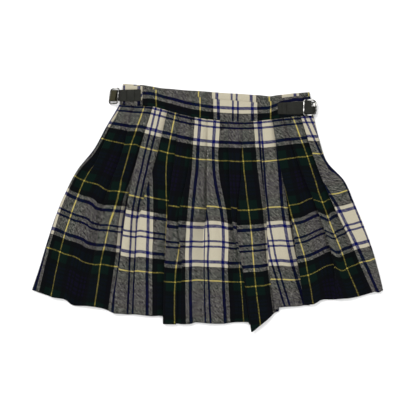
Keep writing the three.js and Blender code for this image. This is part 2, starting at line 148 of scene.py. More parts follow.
# The hang is a face's sag and drop. Over a fold it goes from 0, the left face's, to 1, the right
# face's: how far it has gone in an open pleat's tuck, and low and high on the return.
HANG_IN_TUCK = 0.2
HANG_LOW = 0.4
HANG_HIGH = 0.6
# The left face's share at an open pleat's crest, and the share of the right sag at the knee
HANG_CREST = 0.35
HANG_KNEE = 0.7
# The level at which the sag has the size in its row, and the power by which it grows
SAG_LEVEL = 0.8
SAG_POWER = 1.3
# The side edges: inset of the turned cloth, its turn, how much of it goes under, and how far
# above the back panel it ends, beyond a seam's gap
SIDE_INSET = 0.6
SIDE_TURN = 1.6
SIDE_UNDER = 4
SIDE_CLEAR = 0.3
# The back panel: its missing length, inset of its edges, clearance before each fold, rounding of
# its folds and edges, and a tuck's depth at the waist and at the hem, as shares of a face
BACK_SHORTER = 9
BACK_INSET = 1.2
BACK_CLEAR = 2.6
BACK_TURN = 0.7
BACK_EDGE_TURN = 0.5
BACK_TUCK_WAIST = 0.6
BACK_TUCK_HEM = 0.3
# The most of a section's span that one rounded turn takes up
TURN_SHARE = 0.48
# Points filled in along each face of the front, and of the back
FACE_POINTS = 8
BACK_POINTS = 2
# The darkness at a fold whose row gives none, and how close to the fold it gathers
PLAIN_SHADOW = [0, 0.4, 0.4, 0.4, 0.4]
PLAIN_GATHER = 7
# Where on a face its caught cloth lies and how wide, as shares of the face
TUCKED_FROM = 0.66
TUCKED_WIDE = 0.12
# One panel's cut
CUT_WIDTH = 754

# The plaid: half of its repeat, from the middle of a white ground pair outwards, as (width, yarn)
HALF_PLAID = [
    (2.5, "white"), (3.3, "navy"), (20.1, "white"), (5, "navy"), (5.8, "white"),
    (8.2, "black"), (13, "green"), (1.9, "yellow"), (13.6, "green"), (7.5, "black"),
    (3.3, "dark navy"), (2.5, "black"), (3.3, "dark navy"), (2.5, "black"), (3.6, "dark navy"),
]
HALF_WIDTH = sum(width for width, _ in HALF_PLAID)
YARNS = {
    "white": (0.685, 0.658, 0.58),
    "navy": (0.052, 0.072, 0.28),
    "dark navy": (0.07, 0.063, 0.118),
    "black": (0.05, 0.056, 0.065),
    "green": (0.047, 0.1, 0.088),
    "yellow": (0.66, 0.60, 0.27),
}
# The weft: where the repeat starts below the seam, its stretch, and the last place drawn at the hem
WEFT_START = 6.4
WEFT_STRETCH = 1.022
HEM_STRIPE = 335.5
# Width of a drawn thread, and the threads in one repeat of the twill
THREAD = 0.66
TWILL = 4.0


def mix(a, b, t):
    return a + (b - a) * t


def clamp(x, low=0.0, high=1.0):
    return min(high, max(low, x))


def smooth(t):
    return t * t * (3 - 2 * t)


def through(values, share):
    """A smooth curve through equally spaced values, share 0 to 1 along it."""
    steps = len(values) - 1
    i = min(steps - 1, int(share * steps))
    t = share * steps - i
    b, c = values[i], values[i + 1]
    a = values[i - 1] if i > 0 else 2 * b - c
    d = values[i + 2] if i < steps - 1 else 2 * c - b
    return b + 0.5 * t * (c - a + t * (2 * a - 5 * b + 4 * c - d + t * (3 * (b - c) + d - a)))


def along(table, x, ease=1.0):
    """A value read off a short table of (x, value), eased between its rows."""
    i = 0
    while i < len(table) - 2 and table[i + 1][0] < x:
        i += 1
    (xa, a), (xb, b) = table[i], table[i + 1]
    t = clamp((x - xa) / (xb - xa))
    return mix(a, b, mix(t, smooth(t), ease))


def seam_reach(across):
    """How far the waist seam lies from the fan's point."""
    return along(SEAM_LINE, across)


def seam_up(across):
    """How far up the waist seam lies."""
    return FAN_Y - math.sqrt(seam_reach(across) ** 2 - (across - FAN_X) ** 2)


# Pleated panels


def line_at(line, share):
    """A fold or side edge at one level: bearing, reach, place on the cut, seam reach and length."""
    seam = seam_reach(line["across"][0])
    reach = seam + line["long"] * share
    bearing = math.asin((through(line["across"], share) - FAN_X) / reach)
    cloth = through(line["cloth"], share)
    return {"bearing": bearing, "reach": reach, "cloth": cloth, "seam": seam, "long": line["long"]}


def panel_lines(share):
    return [line_at(line, share) for line in (LEFT_SIDE, *PLEATS, RIGHT_SIDE)]


def face_width(a, b):
    """How wide the face between two fold edges shows at their level."""
    return (b["bearing"] - a["bearing"]) * 0.5 * (a["reach"] + b["reach"])


def sag_share(share):
    """How much of its row's sag the cloth has at a level."""
    return (share / SAG_LEVEL) ** SAG_POWER


def front_section(share):
    """Points along the middle of the front panel at one level, and how many to fill in after each."""
    lines = panel_lines(share)
    keys = []

    def add(line, offset, height, hang, turn, cloth, fill=0, shadow=0.0):
        sag, drop = hang
        keys.append({
            "bearing": line["bearing"] + offset / line["reach"], "height": height, "shadow": shadow,
            "sag": sag * sag_share(share), "drop": drop, "cloth": cloth, "turn": turn, "fill": fill,
        })

    def between(a, b, t):
        return [mix(x, y, t) for x, y in zip(a, b)]

    left, right = lines[0], lines[-1]
    hang_left = (LEFT_SIDE["sag"][1], through(LEFT_SIDE["drop_right"], share))
    hang_right = (RIGHT_SIDE["sag"][0], through(RIGHT_SIDE["drop_left"], share))
    under = BACK_FLOOR + WALL / 2 + SEAM_GAP + SIDE_CLEAR
    floor = FRONT_FLOOR
    add(left, SIDE_INSET, under, hang_left, 1, left["cloth"] - SIDE_UNDER, 1)
    add(left, SIDE_INSET, floor, hang_left, SIDE_TURN, left["cloth"] + SIDE_INSET, FACE_POINTS)
    for k, pleat in enumerate(PLEATS):
        before_line, fold, next_line = lines[k : k + 3]
        before = face_width(before_line, fold)
        after = face_width(fold, next_line)
        slack = through(pleat["slack"], share) if "slack" in pleat else 0
        tucked = through(pleat["tucked"], share) if "tucked" in pleat else 0
        lift = pleat["lift"]
        hang_a = (pleat["sag"][0], through(pleat["drop_left"], share))
        hang_b = (pleat["sag"][1], through(pleat["drop_right"], share))
        tuck = max(0, fold["cloth"] - before_line["cloth"] - before - slack - tucked)
        opened = 1 - smooth(clamp(tuck / OPEN_TUCK))
        depth = min(tuck / 2, TUCK_ROOM * after)
        slope = min(OPEN_SLOPE, SLOPE_ROOM * before) * opened
        closed_rise = 2 * LAYER + (lift - 2 * LAYER) * max(0, share - CLOSED_UNTIL)
        rise = mix(closed_rise, lift * (0.5 + 0.5 * share), opened)
        step = mix(LAYER, OPEN_STEP * rise, opened)
        turn = mix(LAYER / 2, OPEN_TURN, opened)
        cloth = fold["cloth"]
        inner = cloth - tuck / 2
        foot = -slope - mix(CLOSED_FOOT, OPEN_FOOT * before, opened)
        knee = mix(min(depth + CLOSED_KNEE, KNEE_ROOM * after), OPEN_KNEE * after, opened)
        dark = clamp(through(pleat.get("shadow", PLAIN_SHADOW), share)) * (1 - OPEN_LIGHTER * opened)
        add(fold, foot, floor, hang_a, mix(FOOT_TURN, OPEN_TURN, opened), cloth - tuck + foot, 0, dark)
        keys[-1].update(tucked=tucked, gather=pleat.get("gather", PLAIN_GATHER))
        in_tuck = between(hang_a, hang_b, HANG_IN_TUCK * opened)
        add(fold, depth - slope, floor, in_tuck, turn, inner - slope, 0, dark)
        low, high = between(hang_a, hang_b, HANG_LOW), between(hang_a, hang_b, HANG_HIGH)
        add(fold, depth - RISE_FROM * slope, floor + step, low, turn, inner - RISE_FROM * slope)
        add(fold, -RISE_TO * slope, floor + rise - step, high, turn, cloth - RISE_TO * slope)
        over = 1 - max(pleat.get("soft", 0), HANG_CREST * opened)
        add(fold, 0, floor + rise, between(hang_a, hang_b, over), turn, cloth)
        hang_knee = (HANG_KNEE * hang_b[0], hang_b[1])
        knee_up = floor + mix(rise, OPEN_KNEE_UP * rise, opened)
        add(fold, knee, knee_up, hang_knee, mix(KNEE_TURN, OPEN_TURN, opened), cloth + knee, FACE_POINTS)
    add(right, -SIDE_INSET, floor, hang_right, SIDE_TURN, right["cloth"] - SIDE_INSET, 1)
    add(right, -SIDE_INSET, under, hang_right, 1, right["cloth"] + SIDE_UNDER)
    return keys, lines


def back_section(share):
    """The back panel at one level: even knife pleats, pressed flat, with their faces underneath.
    It has as many faces as the front has fold edges, so one fold fewer."""
    lines = panel_lines(share)
    left, right = lines[0], lines[-1]
    count = len(PLEATS)
    edge = BACK_INSET / left["reach"]
    clear = BACK_CLEAR / left["reach"]
    pitch = (right["bearing"] - left["bearing"] - 2 * edge) / count
    wide = pitch * left["reach"]
    cut = CUT_WIDTH / count
    keys = []

    def add(bearing, height, turn, cloth, fill=0):
        keys.append({
            "bearing": bearing, "height": height, "shadow": 0, "sag": 0, "drop": 0,
            "cloth": cloth, "turn": turn, "fill": fill,
        })

    add(left["bearing"] + edge, BACK_FLOOR, BACK_EDGE_TURN, cut - wide, BACK_POINTS)
    for k in range(1, count):
        fold = left["bearing"] + edge + pitch * k
        depth = pitch * mix(BACK_TUCK_WAIST, BACK_TUCK_HEM, share)
        cloth = cut * k
        add(fold - clear, BACK_FLOOR, BACK_TURN, cloth - BACK_CLEAR)
        add(fold, BACK_FLOOR + 2 * LAYER, BACK_TURN, cloth)
        add(fold + depth, BACK_FLOOR + 2 * LAYER, LAYER / 2, cloth + (cut - wide) / 2)
        add(fold + depth, BACK_FLOOR + LAYER, LAYER / 2, cloth + (cut - wide) / 2)
        add(fold, BACK_FLOOR + LAYER, LAYER / 2, cloth + cut - wide)
        add(fold, BACK_FLOOR, LAYER / 2, cloth + cut - wide, BACK_POINTS)
    add(right["bearing"] - edge, BACK_FLOOR, BACK_EDGE_TURN, cut * count)
    return keys, lines


def rounded(keys, points):
    """Rounds each turn of a section and fills in points along its faces. The weft's hang eases
    from fold to fold, and a fold's shadow gathers close to it."""
    reach = SEAM_LINE[0][1]
    names = ("bearing", "height", "sag", "drop", "cloth", "shadow")
    out = []
    turned = 0

    def flat(key):
        return Vector((key["bearing"] * reach, key["height"]))

    def toward(a, b, t):
        point = {n: mix(a[n], b[n], t) for n in names}
        point.update({n: mix(a[n], b[n], smooth(t)) for n in ("sag", "drop")})
        return point

    def face_point(last, first, a, b, t, ends):
        point = toward(last, first, t)
        eased = smooth(mix(*ends, t))
        point.update({n: mix(a[n], b[n], eased) for n in ("sag", "drop")})
        point["shadow"] = first["shadow"] * t ** b.get("gather", PLAIN_GATHER)
        point["cloth"] += b.get("tucked", 0) * (smooth(clamp((t - TUCKED_FROM) / TUCKED_WIDE)) - t)
        return point

    for i, key in enumerate(keys):
        right_end, next_end = 0, 0
        if 0 < i < len(keys) - 1:
            before = max((flat(key) - flat(keys[i - 1])).length, 1e-6)
            after = max((flat(keys[i + 1]) - flat(key)).length, 1e-6)
            cut = min(key["turn"], TURN_SHARE * before, TURN_SHARE * after)
            right_end, next_end = cut / before, cut / after
            start, end = toward(key, keys[i - 1], right_end), toward(key, keys[i + 1], next_end)
            steps = [k / (points - 1) for k in range(points)]
            group = [
                {n: (1 - t) ** 2 * start[n] + 2 * t * (1 - t) * key[n] + t * t * end[n] for n in names}
                for t in steps
            ]
        else:
            group = [{n: key[n] for n in names}]
        if out and keys[i - 1]["fill"]:
            last, fill = out[-1], keys[i - 1]["fill"]
            ends = (turned, 1 - right_end)
            shares = [(k + 1) / (fill + 1) for k in range(fill)]
            out += [face_point(last, group[0], keys[i - 1], key, t, ends) for t in shares]
        out += group
        turned = next_end
    return out


def lie(lines, point, share, shorten):
    """A section's point: its place in the skirt and on the cut, in millimetres, and its shadow."""
    i = 0
    while i < len(lines) - 2 and lines[i + 1]["bearing"] < point["bearing"]:
        i += 1
    a, b = lines[i], lines[i + 1]
    t = clamp((point["bearing"] - a["bearing"]) / (b["bearing"] - a["bearing"]))
    down = mix(a["long"], b["long"], t) * share
    reach = mix(a["seam"], b["seam"], t) + down + point["sag"] - shorten * share
    x, y = FAN_X + reach * math.sin(point["bearing"]), FAN_Y - reach * math.cos(point["bearing"])
    drawn_down = min(down - point["drop"], HEM_STRIPE)
    cut = (point["cloth"], (drawn_down - WEFT_START) / WEFT_STRETCH)
    return (x, y, point["height"]), cut, point["shadow"]


# Making pieces


def make_piece(name, shape, material):
    """Turns a finished bmesh into an object in the scene."""
    mesh = bpy.data.meshes.new(name)
    shape.to_mesh(mesh)
    shape.free()
    mesh.materials.append(material)
    piece = bpy.data.objects.new(name, mesh)
    bpy.context.scene.collection.objects.link(piece)
    return piece


def soft_grid(name, columns, rows, lay, material, join=False):
    """A grid of cloth, leather or wire. lay(s, t) gives a point and its place on the cut, both in
    millimetres, and for pleated cloth also its shadow. join closes the grid on itself."""
    shape = bmesh.new()
    bmesh.ops.create_grid(shape, x_segments=columns, y_segments=rows, size=0.5)
    cut = shape.loops.layers.uv.new("cloth")
    shade = shape.loops.layers.uv.new("shadow")
    places = {}
    for vertex in shape.verts:
        s, t = vertex.co.x + 0.5, vertex.co.y + 0.5
        place, *places[vertex] = lay(s, t)
        vertex.co = Vector(place) * MM
    for face in shape.faces:
        face.smooth = True
        for corner in face.loops:
            corner[cut].uv, *shadow = places[corner.vert]
            corner[shade].uv = (shadow[0] if shadow else 0, 0)
    if join:
        bmesh.ops.remove_doubles(shape, verts=shape.verts, dist=1e-6)
    return make_piece(name, shape, material)


# Of a sheet's cut edge: the strips that round it, and the turn in degrees past which it is one
EDGE_STRIPS = 3
EDGE_ANGLE = 50


def thicken(piece, thick, edge=0.0):
    """Gives a sheet its wall, half on each side, and rounds its cut edges by edge millimetres."""
    wall = piece.modifiers.new("wall", "SOLIDIFY")
    wall.thickness = thick * MM
    wall.offset = 0.0
    wall.use_even_offset = False
    if edge:
        round_edge = piece.modifiers.new("edge", "BEVEL")
        round_edge.width = edge * MM
        round_edge.segments = EDGE_STRIPS
        round_edge.limit_method = "ANGLE"
        round_edge.angle_limit = math.radians(EDGE_ANGLE)
    return piece


def pleated_panel(name, section, rows, turn_points, shorten=0.0, relief=None):
    """A whole pleated panel as one sheet of cloth, with turn_points along each rounded turn.
    shorten is taken off its length, and relief(x, y, share) added to its height."""
    levels = []
    for j in range(rows + 1):
        share = j / rows
        keys, lines = section(share)
        levels.append([lie(lines, point, share, shorten) for point in rounded(keys, turn_points)])
    columns = len(levels[0]) - 1

    def lay(s, t):
        j = round((1 - t) * rows)
        place, cut, shadow = levels[j][round(s * columns)]
        if relief:
            place = (place[0], place[1], place[2] + relief(place[0], place[1], j / rows))
        return place, cut, shadow

    return thicken(soft_grid(name, columns, rows, lay, WOOL), WALL)


# Shader building


class Shade:
    """One socket of a material. Sums, products and the like add Math nodes to it."""

    def __init__(self, recipe, socket):
        self.recipe = recipe
        self.socket = socket

    def out(self, name):
        return Shade(self.recipe, self.socket.node.outputs[name])

    def maths(self, operation, *others, clamped=False):
        settings = {"operation": operation, "use_clamp": clamped}
        return self.recipe.node("Math", settings, {i: v for i, v in enumerate((self, *others))})

    def __add__(self, other):
        return self.maths("ADD", other)

    __radd__ = __add__

    def __mul__(self, other):
        return self.maths("MULTIPLY", other)

    __rmul__ = __mul__

    def __sub__(self, other):
        return self.maths("SUBTRACT", other)

    def __rsub__(self, other):
        return self.recipe.node("Math", {"operation": "SUBTRACT"}, {0: other, 1: self})

    def __truediv__(self, other):
        return self.maths("DIVIDE", other)

    def __mod__(self, other):
        return self.maths("FLOORED_MODULO", other)

    def __lt__(self, other):
        return self.maths("LESS_THAN", other)

    def __gt__(self, other):
        return self.maths("GREATER_THAN", other)


class Recipe:
    """A material and the one method that adds any node to it."""

    def __init__(self, name):
        self.material = bpy.data.materials.new(name)
        self.material.use_nodes = True
        self.tree = self.material.node_tree
        self.tree.nodes.clear()

    def node(self, kind, settings=None, inputs=None, output=0):
        made = self.tree.nodes.new("ShaderNode" + kind)
        for key, value in (settings or {}).items():
            if key == "stops":
                ramp = made.color_ramp
                ramp.interpolation = "CONSTANT"
                while len(ramp.elements) < len(value):
                    ramp.elements.new(1.0)
                for element, (position, colour) in zip(ramp.elements, value):
                    element.position = position
                    element.color = (*colour, 1)
            else:
                setattr(made, key, value)
        for key, value in (inputs or {}).items():
            if isinstance(value, Shade):
                self.tree.links.new(value.socket, made.inputs[key])
            else:
                made.inputs[key].default_value = value
        return Shade(self, made.outputs[output]) if made.outputs else None

    def noise(self, where, scale, detail=2.0, roughness=0.5, stretch=None):
        if stretch:
            where = self.node("Mapping", {}, {"Vector": where, "Scale": stretch})
        inputs = {"Vector": where, "Scale": scale, "Detail": detail, "Roughness": roughness}
        return self.node("TexNoise", {}, inputs)

    def blend(self, factor, a, b, how="MIX"):
        settings = {"data_type": "RGBA", "blend_type": how}
        return self.node("Mix", settings, {0: factor, 6: a, 7: b}, 2)

    def bump(self, height, distance, strength):
        return self.node("Bump", {}, {"Height": height, "Distance": distance, "Strength": strength})

    def finish(self, **sockets):
        inputs = {key.replace("_", " "): value for key, value in sockets.items()}
        shader = self.node("BsdfPrincipled", {}, inputs)
        self.node("OutputMaterial", {}, {"Surface": shader})
        return self.material


GAMMA = 2.2


def yarn_colour(name):
    """A yarn's colour as the shader wants it, from its value on the screen."""
    return tuple(value**GAMMA for value in YARNS[name])


def plaid_stops():
    """The stripes of half a repeat as the stops of a ramp from 0 to 1."""
    stops, at = [], 0.0
    for width, yarn in HALF_PLAID:
        stops.append((at / HALF_WIDTH, yarn_colour(yarn)))
        at += width
    return stops


# How far the stripes stray across and down, in millimetres
STRAY = (2.4, -2.0)
# A pale yarn with more red than blue by this is yellow, and two yarns with less red between them
# than this are alike
YELLOW_FROM = 0.2
ALIKE = 0.15
# The darkness of a full shadow
SHADOW_DEPTH = 0.9


def plaid_wool():
    """Two-up two-down wool twill: warp and weft carry the same stripes, both read off the cut.
    Where a light and a dark yarn cross, the dark one and its fuzz shade most of the light one."""
    r = Recipe("plaid_wool")
    cut = r.node("UVMap", {"uv_map": "cloth"})
    wander = r.noise(cut, 0.03, 2.0)
    place = r.node("SeparateXYZ", {}, {0: cut})
    across = place + (wander - 0.5) * STRAY[0]
    down = place.out("Y") + (wander - 0.5) * STRAY[1]

    def stripes(where):
        share = where.maths("PINGPONG", HALF_WIDTH) / HALF_WIDTH
        return r.node("ValToRGB", {"stops": plaid_stops()}, {"Fac": share})

    warp_count = (across / THREAD).maths("FLOOR")
    weft_count = (down / THREAD).maths("FLOOR")
    warp_up = ((warp_count - weft_count) % TWILL) < TWILL / 2
    # Fuzz and uneven yarn break up the twill's lines, which run down to the right
    lengthwise = r.node("CombineXYZ", {}, {0: across - down, 1: (across + down) * 0.3})
    speckle = r.noise(cut, 0.42, 3.0, 0.75) + r.noise(lengthwise, 0.33, 1.5, 0.6) - 1.0
    warp, weft = stripes(across), stripes(down)
    dark = r.blend(1.0, warp, weft, "DARKEN")
    light = r.blend(1.0, warp, weft, "LIGHTEN")
    light_red = r.node("SeparateColor", {}, {"Color": light})
    dark_red = r.node("SeparateColor", {}, {"Color": dark})
    yellow_over = (light_red - light_red.out("Blue")) > YELLOW_FROM
    # How much of the light yarn shows, never quite none. It looks cooler over a dark one.
    showing = (warp_up * 0.4 - 0.09 + speckle * 1.15 + yellow_over * 0.12).maths("MAXIMUM", 0.015)
    cooler = r.blend(1.0, light, (0.87, 0.9, 1.06, 1), "MULTIPLY")
    cooled = r.blend((light_red - dark_red) > ALIKE, light, cooler)
    colour = r.blend(showing, dark, cooled)
    thread = r.node("CombineXYZ", {}, {0: warp_count, 1: weft_count})
    slub = r.node("TexWhiteNoise", {"noise_dimensions": "2D"}, {"Vector": thread})
    fuzz = r.noise(cut, 2.2, 3.0, 0.7)
    # Painted shadow beside the folds, read from the shadow map, darkens the tone, which slubs and fuzz vary
    # at random
    shadow = r.node("SeparateXYZ", {}, {0: r.node("UVMap", {"uv_map": "shadow"})})
    tone = (0.9 + (slub - 0.5) * 0.12 + (fuzz - 0.5) * 0.3) * (1 - shadow * SHADOW_DEPTH)
    grey = r.node("CombineColor", {}, {0: tone, 1: tone, 2: tone})
    colour = r.blend(1.0, colour, grey, "MULTIPLY")

    warp_round = (across / THREAD).maths("PINGPONG", 0.5)
    weft_round = (down / THREAD).maths("PINGPONG", 0.5)
    thread_height = warp_up * warp_round + (1 - warp_up) * weft_round
    height = thread_height + fuzz * 0.9
    normal = r.bump(height, 0.00018, 0.8)
    return r.finish(
        Base_Color=colour, Roughness=0.93, Normal=normal,
        Sheen_Weight=0.02, Sheen_Roughness=0.5, Specular_IOR_Level=0.05,
    )


def black_leather(name, base, worn):
    """Pebbled leather, with patches of its worn colour on its base colour."""
    r = Recipe(name)
    where = r.node("TexCoord", {}, {}, "Object")
    grain = r.node("TexVoronoi", {"feature": "DISTANCE_TO_EDGE"}, {"Vector": where, "Scale": 900.0})
    patch = r.noise(where, 130.0, 3.0, 0.6)
    fine = r.noise(where, 2600.0, 2.0, 0.6)
    colour = r.blend((patch - 0.35).maths("MULTIPLY", 2.2, clamped=True), (*base, 1), (*worn, 1))
    pebble = grain.maths("MINIMUM", 0.22) * 3.5
    normal = r.bump(pebble + fine * 0.35, 0.00012, 0.7)
    return r.finish(Base_Color=colour, Roughness=0.42 + patch * 0.2, Normal=normal, Specular_IOR_Level=0.1)


def polished_silver(name, painted_glints):
    """Polished metal with painted reflections in its colour: dark, as of a dark room, with a painted lamp
    glint around each (x, y, radius).
    """
    r = Recipe(name)
    where = r.node("TexCoord", {}, {}, "Object")
    smudge_and_reflection = r.noise(where, 300.0, 3.0, 0.6)
    scratch = r.noise(where, 900.0, 2.0, 0.6, (1.0, 8.0, 1.0))
    level = r.node("Mapping", {}, {"Vector": where, "Scale": (1, 1, 0)})
    # Painted reflections: smeared dark and pale bands, and a painted glint around each point
    painted_glow = (smudge_and_reflection - 0.5) * 1.6 + 0.1
    for x, y, radius in painted_glints:
        ends = {0: level, 1: (x * MM, y * MM, 0)}
        away = r.node("VectorMath", {"operation": "DISTANCE"}, ends, "Value")
        painted_glow = painted_glow + (1.4 - away * (1.4 / (radius * MM))).maths("MAXIMUM", 0)
    # The metal's colour runs from the painted dark room to painted lamp light
    painted_reflection = painted_glow.maths("ADD", 0.0, clamped=True)
    colour = r.blend(painted_reflection, (0.035, 0.034, 0.032, 1), (0.92, 0.9, 0.86, 1))
    return r.finish(
        Base_Color=colour, Metallic=1.0, Roughness=0.1 + smudge_and_reflection * 0.16,
        Normal=r.bump(scratch, 0.00002, 0.5),
    )


def sewing_thread(name, colour):
    """Twisted thread, with shade painted between its plies."""
    r = Recipe(name)
    where = r.node("TexCoord", {}, {}, "Object")
    inputs = {"Vector": where, "Scale": 1400.0, "Distortion": 1.0}
    ply = r.node("TexWave", {"bands_direction": "DIAGONAL"}, inputs)
    shade = r.blend(ply, (*colour, 1), tuple(0.7 * c for c in colour) + (1,))
    return r.finish(Base_Color=shade, Roughness=0.7, Normal=r.bump(ply, 0.00008, 0.6))


def pale_floor():
    """The nearly white surface that the skirt lies on."""
    r = Recipe("pale_floor")
    where = r.node("TexCoord", {}, {}, "Object")
    tone = r.noise(where, 40.0, 2.0)
    colour = r.blend(tone, (0.93, 0.93, 0.93, 1), (0.95, 0.95, 0.95, 1))
    return r.finish(Base_Color=colour, Roughness=0.9, Specular_IOR_Level=0.1)


WOOL = plaid_wool()
LEATHER_FACE = black_leather("black_leather", (0.0095, 0.0098, 0.0078), (0.017, 0.0175, 0.014))
LEATHER_EDGE = black_leather("leather_loop", (0.02, 0.019, 0.009), (0.036, 0.033, 0.014))
# Each ring has its own copy of the silver, with painted glints placed where lamps show in it
LEFT_SILVER = polished_silver("left_silver_painted_glints", [(-151, 194.5, 4.5), (-149.8, 186, 4), (-152, 173.5, 2.5)])
RIGHT_SILVER = polished_silver("right_silver_painted_glints", [
    (157, 171, 4), (157, 161, 4), (168.5, 176.3, 5.5), (167.5, 153.2, 5), (176.6, 169.5, 4.5),
])
PALE_THREAD = sewing_thread("pale_thread", (0.34, 0.33, 0.29))


def dress(piece, slot, *nodes):
    """Puts a piece on the skirt's body and hides the CAD nodes that it stands for; slot is not used."""
    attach(piece, "root")
    if nodes:
        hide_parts(*nodes)
    return piece


# Pleats


# The level from which the waves grow, and over how much of the length
WAVES_FROM = 0.35
WAVES_OVER = 0.5


def soft_waves(x, y, share):
    """Shallow waves of the unpressed lower half."""
    low = smooth(clamp((share - WAVES_FROM) / WAVES_OVER))
    wave = math.sin(x * 0.061 + y * 0.017) * math.sin(y * 0.031 - x * 0.012 + 1.3)
    small = math.sin(x * 0.13 - y * 0.07 + 2.0) * math.sin(y * 0.093 + x * 0.05)
    return low * (0.9 * wave + 0.35 * small) + 0.12 * math.sin(y * 0.16 + x * 0.05)


ROWS = 84
BACK_ROWS = 40
front = pleated_panel("front_pleat_cloth", front_section, ROWS, turn_points=4, relief=soft_waves)
dress(front, "plaid_wool", "front_pleats")

back = pleated_panel("back_pleat_cloth", back_section, BACK_ROWS, turn_points=3, shorten=BACK_SHORTER)
dress(back, "plaid_wool", "back_pleats")

# Pale tacking stitches that hold the seventh pleat down, as (x, y, lean), their height above
# the front's floor, and their length, width and height
TACKING = [
    (0.2, 94, 0.1), (0.9, 89.2, -0.08), (-0.1, 85.3, 0.25), (0.8, 80, 0.12),
    (-0.2, 66.4, -0.15), (0.9, 62.2, 0.2), (0.2, 55.5, 0),
]
TACKING_UP = 3.6
TACKING_SIZE = (2.6, 0.9, 0.7)


def stitches(name, places, size, material):
    """Small stitches lying on the cloth: size is their length, width and height."""
    shape = bmesh.new()
    for x, y, z, lean in places:
        lie_at = Matrix.Translation(Vector((x, y, z)) * MM) @ Matrix.Rotation(lean, 4, "Z")
        grow = Matrix.Diagonal((size[1] * MM, size[0] * MM, size[2] * MM, 1))
        bmesh.ops.create_uvsphere(shape, u_segments=10, v_segments=8, radius=0.5, matrix=lie_at @ grow)
    for face in shape.faces:
        face.smooth = True
    return make_piece(name, shape, material)


tacking_places = [(x, y, FRONT_FLOOR + TACKING_UP, lean) for x, y, lean in TACKING]
tacking = stitches("pale_tacking", tacking_places, TACKING_SIZE, PALE_THREAD)
dress(tacking, "plaid_wool")

# Waistband

# The upper edges, as (across, up)
FRONT_BAND_TOP = [
    (-107.6, 199.5), (-86.6, 194.2), (-66.8, 188.4), (-30.5, 183), (37, 176.4), (83, 173.1),
    (97, 173.6), (115, 178.4), (128, 181.3), (148, 183.3), (170, 183),
]
BACK_BAND_TOP = [
    (-139, 204), (-108, 202), (-70, 196.2), (-29, 192.9), (45, 187.9), (82, 185.5),
    (103, 183.5), (120, 185.8), (144, 188.4), (168, 190.2),
]
LEFT_END_TOP = [(-139, 201.2), (-108, 200)]
# Where the plaid's repeat starts across the bands, and how much the bands draw it in
PIVOT = 45.8
BAND_EASE = 0.98
# The thick navy weft: its place on the cut, and its height above the seam along the front band
THICK_NAVY = 28.4
NAVY_LINE = [
    (-107, 21), (54, 21.5), (99.8, 19.8), (111, 22), (119.6, 25.4), (132.8, 26.1), (161, 27.7), (171, 30.9),
]
# A folded strip's section, as (share of the height, side of the wall from -1 underneath to 1 on top)
FOLDED_STRIP = [
    (0.35, -1), (0.7, -1), (0.93, -0.98), (0.985, -0.6), (1, 0), (0.985, 0.6), (0.93, 0.95),
    (0.8, 1), (0.5, 1), (0.2, 1), (0.06, 0.98), (0.015, 0.75), (0, 0.2), (0.01, -0.4),
]
BAND_ROWS = 44
# The height of a strip's middle at the seam and at the top, and its thickness
FRONT_HEIGHTS, FRONT_THICK = (6.5, 5.6), 2.8
BACK_HEIGHTS, BACK_THICK = (1.9, 1.9), 3.8


def band(name, ends, upper, heights, thick, cut, columns=150):
    """A waistband strip folded over at the top: front face, rounded top edge, hem turned in below.
    ends is (from, to, from at the top, to at the top), heights the middle of the strip at the seam
    and at the top, and cut(x, up) its place on the plaid."""
    start, stop, start_top, stop_top = ends

    def lay(s, t):
        at = (1 - t) * (len(FOLDED_STRIP) - 1)
        i = min(int(at), len(FOLDED_STRIP) - 2)
        share, side = (mix(a, b, at - i) for a, b in zip(FOLDED_STRIP[i], FOLDED_STRIP[i + 1]))
        low, high = mix(start, stop, s), mix(start_top, stop_top, s)
        low_up = seam_up(low) + SEAM_GAP
        high_up = along(upper, high, 0.5)
        x, up = mix(low, high, share), mix(low_up, high_up, share)
        middle = mix(heights[0], heights[1], share)
        z = middle + side * (thick - WALL) / 2
        return (x, up, z), cut(x, up)

    return thicken(soft_grid(name, columns, BAND_ROWS, lay, WOOL), WALL)


def front_band_cut(x, up):
    navy = seam_up(x) + along(NAVY_LINE, x, 0.5)
    return ((x - PIVOT) / BAND_EASE, THICK_NAVY + navy - up)


# The left end's plaid: where it starts across, and its place down the cut at a given height
LEFT_END_START = -141.4
LEFT_END_WEFT = 12
LEFT_END_UP = 202


def left_end_cut(x, up):
    return (x - LEFT_END_START, LEFT_END_WEFT + (LEFT_END_UP - up) * BAND_EASE)


# The back band's plaid: its place down the cut at the upper edge, how much it is drawn in below,
# how far it is shifted along the band, and its own places right of INNER_END
BACK_BAND_WEFT = 6.5
BACK_BAND_EASE = 0.9
BACK_SHIFT = [(-110, 4.4), (-90, 4.1), (0, 2.2), (120, 2)]
INNER_END = 121.5
INNER_EASE = [(121.5, 6.1), (146.5, 31.1), (170, 63.7)]


def back_band_cut(x, up):
    down = BACK_BAND_WEFT + (along(BACK_BAND_TOP, x, 0.5) - up) * BACK_BAND_EASE
    if x > INNER_END:
        return (along(INNER_EASE, x, 0), down)
    return ((x - PIVOT + along(BACK_SHIFT, x, 0)) / BAND_EASE, down)


front_band = band(
    "front_waistband_cloth", (-107.4, 174.2, -107.4, 169), FRONT_BAND_TOP, FRONT_HEIGHTS, FRONT_THICK,
    front_band_cut)
dress(front_band, "plaid_wool", "front_waistband")

left_end = band(
    "left_waistband_cloth", (-144.4, -107.8, -138.4, -107.8), LEFT_END_TOP, FRONT_HEIGHTS, FRONT_THICK,
    left_end_cut, columns=24)
dress(left_end, "plaid_wool", "left_waistband_end")

back_band = band(
    "back_waistband_cloth", (-144, 173.8, -139, 168), BACK_BAND_TOP, BACK_HEIGHTS, BACK_THICK, back_band_cut)
dress(back_band, "plaid_wool", "back_waistband")

# Straps


# The leather's thickness, and that of the strap's tip
LEATHER = 2.2
TIP_LEATHER = 1.5
